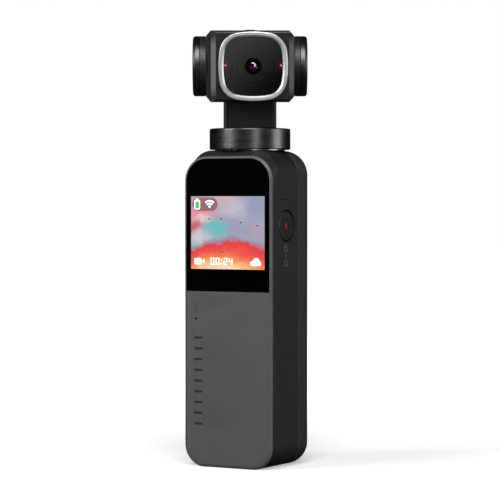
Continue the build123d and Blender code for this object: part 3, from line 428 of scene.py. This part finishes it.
MATERIALS = {
    "casing": moulded("casing_black", grey(0.011), 0.5),
    "rear_casing": moulded("casing_rear", grey(0.03), 0.48),
    "bezel": moulded("bezel_satin", grey(0.10), 0.34, grain=0.2),
    "cover_glass": screen_cover(),
    "grey_cover": moulded("cover_grey", grey(0.068), 0.45, grain=0.3, worn=1.3),
    "button_cap": moulded("button_black", grey(0.012), 0.42, grain=0.2),
    "steel": turned_metal("turned_steel", grey(0.6), 0.28, (1, 0, 0)),
    "stator_iron": turned_metal("stator_iron", grey(0.22), 0.5, (0, 1, 0)),
    "copper": turned_metal("enamelled_wire", srgb(206, 116, 62), 0.3, (0, 0, 1)),
    "magnet": turned_metal("nickel_plate", grey(0.62), 0.22, (0, 0, 1)),
    "lcd": glossy_coat("panel_black", grey(0.02)),
    "diffuser": moulded("diffuser_white", grey(0.75), 0.6, worn=1.1),
    "ribbon": glossy_coat("amber_film", srgb(198, 128, 40), 0.3),
    "board": circuit_board(),
    "chip": moulded("chip_black", grey(0.02), 0.6),
    "graphite": moulded("graphite_film", grey(0.09), 0.4),
    "battery_foil": turned_metal("pouch_foil", grey(0.5), 0.34, (1, 1, 0), head=False),
    "foam": moulded("soft_foam", grey(0.045), 0.9, grain=0.8),
    "card_plastic": moulded("card_black", grey(0.025), 0.45),
    "motor_base": turned_metal("machined_base", grey(0.46), 0.3, (0, 0, 1), head=False),
    "drum": turned_metal("drum_black", grey(0.13), 0.30, (0, 0, 1), head=False, strength=0.9),
    "arm": moulded("arm_black", grey(0.008), 0.4, grain=0.2, worn=2.6),
    "motor_cap": turned_metal("cap_black", grey(0.10), 0.32, (1, 0, 0)),
    "camera_casing": camera_casing(),
    "lens_rim": bright_rim(),
    "lens_cover": lens_cover(),
    "lens_black": moulded("lens_black", grey(0.012), 0.5, grain=0.15, worn=3.0),
    "optics": coated_optics(),
    "tally": lamp("tally_red", srgb(255, 150, 170), 2.2),
}

for row in frame["record"]["subparts"]:
    mesh = NODES[row["node"]].data
    mesh.materials.clear()
    mesh.materials.append(MATERIALS[row["material_slot"]])

MARK_WHITE = lamp("mark_white", srgb(250, 250, 250), 0.9)
MARK_GREEN = lamp("mark_green", srgb(40, 168, 72), 0.9)
MARK_SHADE = lamp("mark_shade", srgb(112, 72, 78), 0.9)
MARK_DARK = lamp("mark_dark", srgb(60, 44, 60), 0.6)
PRINT_GREY = moulded("print_grey", grey(0.13), 0.5, worn=1.2)
# The red record mark is paint, yet glows faintly: a painted glow
RECORD_MARK_PAINTED_GLOW = lamp("record_red", srgb(170, 28, 44), 0.16)
INLAY_BLACK = moulded("inlay_black", grey(0.006), 0.6, worn=1.2)


# ---------------------------------------------------------------- thin printed pieces

def outline_box(width, height, corner=0.0, steps=6):
    """Points round a rectangle with rounded corners, centred on zero."""
    if corner <= 0:
        return [(x * width / 2, y * height / 2) for x, y in ((1, -1), (1, 1), (-1, 1), (-1, -1))]
    points = []
    for quarter, (x, y) in enumerate(((1, 1), (-1, 1), (-1, -1), (1, -1))):
        centre = (x * (width / 2 - corner), y * (height / 2 - corner))
        for step in range(steps + 1):
            angle = math.radians(90 * (quarter + step / steps))
            points.append((centre[0] + corner * math.cos(angle),
                           centre[1] + corner * math.sin(angle)))
    return points


def outline_arc(radius, width, start, end, steps=18):
    """Points round a curved band between two angles in degrees."""
    outer = [start + (end - start) * step / steps for step in range(steps + 1)]
    points = [(radius * math.cos(math.radians(a)), radius * math.sin(math.radians(a)))
              for a in outer]
    inner = radius - width
    points += [(inner * math.cos(math.radians(a)), inner * math.sin(math.radians(a)))
               for a in reversed(outer)]
    return points


def moved(points, x, y):
    """The points shifted by x and y."""
    return [(px + x, py + y) for px, py in points]


def stamp(name, outlines, matrix, depth, material, body):
    """Thin piece made of flat outlines in millimetres, raised by depth along the matrix's z."""
    mesh = bpy.data.meshes.new(name)
    shape = bmesh.new()
    for outline in outlines:
        corners = [shape.verts.new((x * MM, y * MM, 0)) for x, y in outline]
        face = shape.faces.new(corners)
        raised = bmesh.ops.extrude_face_region(shape, geom=[face])
        tops = [v for v in raised["geom"] if isinstance(v, bmesh.types.BMVert)]
        bmesh.ops.translate(shape, verts=tops, vec=(0, 0, depth * MM))
    bmesh.ops.recalc_face_normals(shape, faces=shape.faces)
    shape.to_mesh(mesh)
    shape.free()
    mesh.transform(matrix)
    mesh.materials.append(material)
    piece = bpy.data.objects.new(name, mesh)
    bpy.context.scene.collection.objects.link(piece)
    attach(piece, body)
    return piece


# Heights of the printed and inlaid marks, in millimetres
SCREEN_LAYER = 0.012
PRINT_HEIGHT = 0.015
PAINT_HEIGHT = 0.03

# Screen plane: x across, y up, in millimetres from the screen's lower left corner
SCREEN_MATRIX = (Matrix.Translation((SCREEN_LEFT, GLASS_FRONT_Y, SCREEN_BOTTOM))
                 @ Matrix.Rotation(math.pi / 2, 4, "X"))
SCREEN_MM = (SCREEN_WIDTH / MM, SCREEN_HEIGHT / MM)


def on_screen(name, outlines, material, layer=1):
    """Screen mark lying on the glass; a higher layer stands over a lower one."""
    return stamp(name, outlines, SCREEN_MATRIX, SCREEN_LAYER * layer, material, "handle")


def bar(x, y, width, height, corner=0.0):
    """Bar by its centre and size."""
    return moved(outline_box(width, height, corner), x, y)


def digit_bars(value, x, y, width, height, stroke):
    """Bars of one seven-bar digit, by its lower left corner."""
    middle, right, half = x + width / 2, x + width, height / 2
    level = {"top": y + height, "mid": y + half, "low": y}
    places = {
        "a": bar(middle, level["top"] - stroke / 2, width, stroke),
        "b": bar(right - stroke / 2, y + half * 1.5, stroke, half),
        "c": bar(right - stroke / 2, y + half * 0.5, stroke, half),
        "d": bar(middle, level["low"] + stroke / 2, width, stroke),
        "e": bar(x + stroke / 2, y + half * 0.5, stroke, half),
        "f": bar(x + stroke / 2, y + half * 1.5, stroke, half),
        "g": bar(middle, level["mid"], width, stroke),
    }
    lit = {"0": "abcdef", "2": "abged", "4": "fgbc"}
    return [places[name] for name in lit[value]]


def screen_marks():
    """Status pill, time count, camera and gallery marks, and birds in the picture."""
    width, height = SCREEN_MM
    pill = (0.19 * width, 0.89 * height)
    on_screen("screen_pill", [bar(*pill, 8.2, 3.7, 1.8)], MARK_SHADE, 1)
    cell = (0.085 * width, 0.885 * height)
    on_screen("screen_battery_case", [bar(*cell, 1.9, 2.7, 0.45),
                                      bar(cell[0], cell[1] + 1.5, 0.9, 0.4, 0.15)],
              MARK_WHITE, 2)
    on_screen("screen_battery_level", [bar(cell[0], cell[1] - 0.1, 1.25, 2.0, 0.2)],
              MARK_GREEN, 3)
    source = (0.255 * width, 0.835 * height)
    waves = [moved(outline_arc(radius, 0.42, 48, 132), *source) for radius in (2.3, 1.55)]
    waves.append(moved(outline_arc(0.8, 0.79, 48, 132), *source))
    on_screen("screen_signal", waves, MARK_WHITE, 2)
    camera = (0.095 * width, 0.105 * height)
    on_screen("screen_camera_mark", [bar(*camera, 2.3, 1.8, 0.4),
                                     [(camera[0] + 1.3, camera[1]),
                                      (camera[0] + 2.1, camera[1] - 0.75),
                                      (camera[0] + 2.1, camera[1] + 0.75)]], MARK_WHITE, 1)
    digits, pen = [], 0.27 * width
    for sign in "00:24":
        if sign == ":":
            digits += [bar(pen + 0.2, 0.105 * height + dy, 0.4, 0.4) for dy in (-0.5, 0.5)]
            pen += 0.9
        else:
            digits += digit_bars(sign, pen, 0.06 * height, 1.15, 1.9, 0.26)
            pen += 1.65
    on_screen("screen_time_count", digits, MARK_WHITE, 1)
    gallery = (0.88 * width, 0.1 * height)
    on_screen("screen_gallery_mark", [bar(gallery[0], gallery[1] - 0.35, 3.4, 1.3, 0.5),
                                      moved(outline_arc(1.05, 1.04, 0, 180), gallery[0] + 0.2,
                                            gallery[1] + 0.2)], MARK_WHITE, 1)
    flock = ((0.25, 0.69), (0.41, 0.69), (0.68, 0.64), (0.90, 0.60), (0.43, 0.24))
    birds = [bar(u * width, v * height, 0.62, 0.36, 0.16) for u, v in flock]
    on_screen("screen_birds", birds, MARK_DARK, 1)


def side_marks():
    """Printed marks under the record button, and the red mark in its dimple."""
    below = BUTTON_LOW.z - 1.1 * MM
    turn = Matrix.Rotation(math.pi / 2, 4, "Z") @ Matrix.Rotation(math.pi / 2, 4, "X")
    place = Matrix.Translation((SHELL_SIDE_X, BUTTON_CENTRE.y - 0.5 * MM, below)) @ turn
    power = [outline_arc(1.0, 0.26, 120, 420), bar(0, 0.75, 0.26, 1.0, 0.1)]
    stamp("side_mark_power", power, place, PRINT_HEIGHT, PRINT_GREY, "handle")
    dash = Matrix.Translation((0, 0, -2.0 * MM)) @ place
    stamp("side_mark_dash", [bar(0, 0, 0.3, 0.9, 0.12)], dash, PRINT_HEIGHT, PRINT_GREY,
          "handle")
    ring = Matrix.Translation((0, 0, -4.1 * MM)) @ place
    halves = [outline_arc(1.05, 0.26, start, start + 179.9) for start in (0, 180)]
    stamp("side_mark_ring", halves, ring, PRINT_HEIGHT, PRINT_GREY, "handle")
    floor = BUTTON_HIGH.x - 0.10 * MM
    dimple = Matrix.Translation((floor, BUTTON_CENTRE.y, BUTTON_CENTRE.z)) @ turn
    stamp("record_mark", [outline_box(0.9, 1.9, 0.42)], dimple, PAINT_HEIGHT, RECORD_MARK_PAINTED_GLOW,
          "button")


def inlay_marks():
    """Dark paint in the engraved bars of the grey cover."""
    cover_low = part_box("front_cover")[0]
    floor = Matrix.Translation((0, cover_low.y + 0.115 * MM, 0)) @ Matrix.Rotation(
        math.pi / 2, 4, "X")
    bars = [bar(-9.45, 12.0 + 3.0 * step, 2.6, 0.62, 0.3) for step in range(9)]
    stamp("cover_inlays", bars, floor, PAINT_HEIGHT, INLAY_BLACK, "handle")


screen_marks()
side_marks()
inlay_marks()

# ---------------------------------------------------------------- floor, light and camera

VIEW_AZIMUTH = 30.0
EYE_HEIGHT = 0.0744
AIM = Vector((0, 0, 0.0603))
EYE_DISTANCE = 0.631
LENS_MM = 161.5
LIGHT_AIM = Vector((0, 0, 0.06))
LIGHT_DISTANCE = 1.1
FLOOR_REACH = 8.0

# Name, azimuth from the camera's, elevation, width, height and power of each soft light
SOFTBOXES = (
    ("light_left", -63, 24, 0.50, 0.66, 7),
    ("light_front", 17, 3, 0.22, 0.8, 1.8),
    ("light_right", 84, 2, 0.50, 0.9, 5),
    ("light_key", 0, 46, 0.60, 0.75, 8.5),
)


def around(azimuth, elevation, distance):
    """Point round the object; azimuth 0 is in front of the screen, positive towards +X."""
    a, e = math.radians(azimuth), math.radians(elevation)
    return Vector((math.sin(a) * math.cos(e), -math.cos(a) * math.cos(e),
                   math.sin(e))) * distance


def make_camera():
    """Long lens at the eye's place, turned towards the middle of the object."""
    data = bpy.data.cameras.new("camera")
    data.lens = LENS_MM
    data.sensor_width = 36.0
    data.clip_start = 0.01
    camera = bpy.data.objects.new("camera", data)
    bpy.context.scene.collection.objects.link(camera)
    camera.location = around(VIEW_AZIMUTH, 0, EYE_DISTANCE) + Vector((0, 0, EYE_HEIGHT))
    camera.rotation_euler = (AIM - camera.location).to_track_quat("-Z", "Y").to_euler()
    bpy.context.scene.camera = camera


def make_softbox(name, azimuth, elevation, width, height, power):
    """Soft light that looks at the object; azimuth is counted from the camera's."""
    data = bpy.data.lights.new(name, "AREA")
    data.shape = "RECTANGLE"
    data.size = width
    data.size_y = height
    data.energy = power
    light = bpy.data.objects.new(name, data)
    bpy.context.scene.collection.objects.link(light)
    light.location = LIGHT_AIM + around(VIEW_AZIMUTH + azimuth, elevation, LIGHT_DISTANCE)
    light.rotation_euler = (LIGHT_AIM - light.location).to_track_quat("-Z", "Y").to_euler()
    light.visible_camera = False


def make_floor():
    """Pale floor, lit near the object and plain white further out, dark to the object itself."""
    mesh = bpy.data.meshes.new("floor")
    corners = [(x * FLOOR_REACH, y * FLOOR_REACH, 0)
               for x, y in ((-1, -1), (1, -1), (1, 1), (-1, 1))]
    mesh.from_pydata(corners, [], [(0, 1, 2, 3)])
    s = Shader("floor_pale")
    seen = s.node("ShaderNodeLightPath").outputs["Is Camera Ray"]
    away = s.node("ShaderNodeVectorMath", {0: s.place()}, operation="LENGTH").outputs["Value"]
    plain = s.spread(away, 0.42, 1.0, 0.05, 0.25)
    shader = s.node("ShaderNodeBsdfPrincipled", {
        "Base Color": s.mix(seen, grey(0.05), grey(0.88)), "Roughness": 0.8,
        "Specular IOR Level": 0.0, "Emission Color": grey(1.0),
        "Emission Strength": s.math("MULTIPLY", seen, plain)})
    s.tree.links.new(shader.outputs[0], s.output.inputs["Surface"])
    mesh.materials.append(s.material)
    floor = bpy.data.objects.new("floor", mesh)
    bpy.context.scene.collection.objects.link(floor)


def make_world():
    """White to the eye, dim to the object, so that its black faces stay black."""
    world = bpy.data.worlds.new("studio")
    world.use_nodes = True
    tree = world.node_tree
    tree.nodes.clear()
    path = tree.nodes.new("ShaderNodeLightPath")
    seen = tree.nodes.new("ShaderNodeBackground")
    seen.inputs["Color"].default_value = grey(1.0)
    lit = tree.nodes.new("ShaderNodeBackground")
    lit.inputs["Color"].default_value = grey(0.012)
    mixed = tree.nodes.new("ShaderNodeMixShader")
    output = tree.nodes.new("ShaderNodeOutputWorld")
    tree.links.new(path.outputs["Is Camera Ray"], mixed.inputs[0])
    tree.links.new(lit.outputs[0], mixed.inputs[1])
    tree.links.new(seen.outputs[0], mixed.inputs[2])
    tree.links.new(mixed.outputs[0], output.inputs["Surface"])
    bpy.context.scene.world = world


make_camera()
make_floor()
make_world()
for softbox in SOFTBOXES:
    make_softbox(*softbox)
bpy.context.scene.view_settings.view_transform = "Standard"
